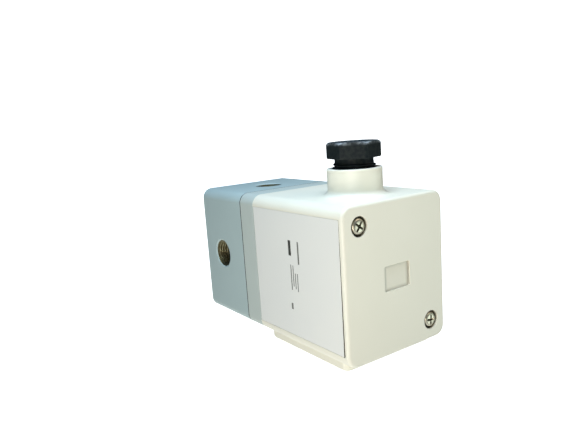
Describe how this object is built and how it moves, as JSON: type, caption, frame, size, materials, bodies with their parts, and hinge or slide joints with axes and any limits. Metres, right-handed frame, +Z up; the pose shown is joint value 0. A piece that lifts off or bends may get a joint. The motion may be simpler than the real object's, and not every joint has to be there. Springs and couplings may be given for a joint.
{
  "type": "electro pneumatic regulator",
  "caption": "Upright pressure regulator: ported metal body, clamped diaphragm and valve, pilot valves and board under a plastic cover with a cable gland.",
  "frame": {"origin": "centre of the base, where the flush valve plug closes the body", "axes": "+Z up from the base to the cover's end face, -Y out of the label plate and exhaust port, -X out of the cable gland and the inlet port"},
  "size_m": [0.084, 0.052, 0.1045],
  "materials": {
    "cast_body": "light grey cast and painted",
    "pilot_metal": "machined",
    "cover_plastic": "warm white, satin",
    "label_film": "cool white, satin",
    "gland_plastic": "black, satin",
    "black_rubber": "plain",
    "bright_steel": "bright",
    "brass": "turned",
    "coil_resin": "moulded",
    "board_laminate": "green",
    "terminal_plastic": "green",
    "trimmer_plastic": "blue"
  },
  "bodies": {
    "housing": {"board_bracket": "bright_steel", "board_screw_1": "bright_steel", "board_screw_2": "bright_steel", "board_spacer_1": "brass", "board_spacer_2": "brass", "body_screw_1": "bright_steel", "body_screw_2": "bright_steel", "body_screw_3": "bright_steel", "body_screw_4": "bright_steel", "bottom_plug": "brass", "bracket_screw_1": "bright_steel", "bracket_screw_2": "bright_steel", "circuit_board": "board_laminate", "cover": "cover_plastic", "cover_gasket": "black_rubber", "cover_screw_1": "bright_steel", "cover_screw_2": "bright_steel", "diaphragm": "black_rubber", "exhaust_coil": "coil_resin", "exhaust_core": "bright_steel", "exhaust_nut": "bright_steel", "exhaust_return_spring": "bright_steel", "exhaust_sleeve": "brass", "exhaust_yoke": "bright_steel", "gland_bush": "black_rubber", "label_plate": "label_film", "main_body": "cast_body", "middle_plate": "cast_body", "pilot_block": "pilot_metal", "pilot_gasket": "black_rubber", "pilot_screw_1": "bright_steel", "pilot_screw_2": "bright_steel", "plug_seal_lower": "black_rubber", "plug_seal_upper": "black_rubber", "pressure_sensor": "bright_steel", "span_trimmer": "trimmer_plastic", "supply_coil": "coil_resin", "supply_core": "bright_steel", "supply_nut": "bright_steel", "supply_return_spring": "bright_steel", "supply_sleeve": "brass", "supply_yoke": "bright_steel", "terminal_block": "terminal_plastic", "terminal_screw_1": "bright_steel", "terminal_screw_2": "bright_steel", "terminal_screw_3": "bright_steel", "terminal_screw_4": "bright_steel", "valve_spring": "bright_steel", "zero_trimmer": "trimmer_plastic"},
    "diaphragm_set": {"diaphragm_rod": "bright_steel", "diaphragm_plate": "bright_steel", "diaphragm_nut": "bright_steel"},
    "supply_poppet": {"supply_valve": "brass", "valve_face_ring": "black_rubber"},
    "supply_plunger": {"supply_armature": "bright_steel"},
    "exhaust_plunger": {"exhaust_armature": "bright_steel"},
    "gland_washer": {"gland_washer": "bright_steel"},
    "gland_nut": {"gland_nut": "gland_plastic"},
    "zero_rotor": {"zero_rotor": "brass"},
    "span_rotor": {"span_rotor": "brass"}
  },
  "joints": [
    {"name": "diaphragm_lift", "type": "slide", "parent": "housing", "child": "diaphragm_set", "axis": [0, 0, 1], "range_m": [-0.0012, 0], "stiffness_N_per_m": 1500, "springref_m": 0.001, "deforming": ["diaphragm"]},
    {"name": "poppet_lift", "type": "slide", "parent": "housing", "child": "supply_poppet", "axis": [0, 0, 1], "range_m": [-0.0012, 0], "stiffness_N_per_m": 800, "springref_m": 0.001, "deforming": ["valve_spring"]},
    {"name": "supply_plunger_lift", "type": "slide", "parent": "housing", "child": "supply_plunger", "axis": [0, 0, 1], "range_m": [0, 0.0005], "stiffness_N_per_m": 400, "springref_m": -0.001, "deforming": ["supply_return_spring"]},
    {"name": "exhaust_plunger_lift", "type": "slide", "parent": "housing", "child": "exhaust_plunger", "axis": [0, 0, 1], "range_m": [0, 0.0005], "stiffness_N_per_m": 400, "springref_m": -0.001, "deforming": ["exhaust_return_spring"]},
    {"name": "gland_washer_press", "type": "slide", "parent": "housing", "child": "gland_washer", "axis": [1, 0, 0], "range_m": [0, 0.00225], "deforming": ["gland_bush"]},
    {"name": "gland_nut_turn", "type": "hinge", "parent": "gland_washer", "child": "gland_nut", "pos_m": [-0.04, 0, 0.08305], "axis": [1, 0, 0], "range_deg": [0, 540]},
    {"name": "zero_turn", "type": "hinge", "parent": "housing", "child": "zero_rotor", "pos_m": [-0.006, 0.015, 0.08805], "axis": [0, -1, 0], "range_deg": [-135, 135]},
    {"name": "span_turn", "type": "hinge", "parent": "housing", "child": "span_rotor", "pos_m": [0.006, 0.015, 0.08805], "axis": [0, -1, 0], "range_deg": [-135, 135]}
  ],
  "couplings": [
    {"joint": "poppet_lift", "follows": "diaphragm_lift", "ratio": 1},
    {"joint": "gland_nut_turn", "follows": "gland_washer_press", "rad_per_m": 4188.8}
  ]
}
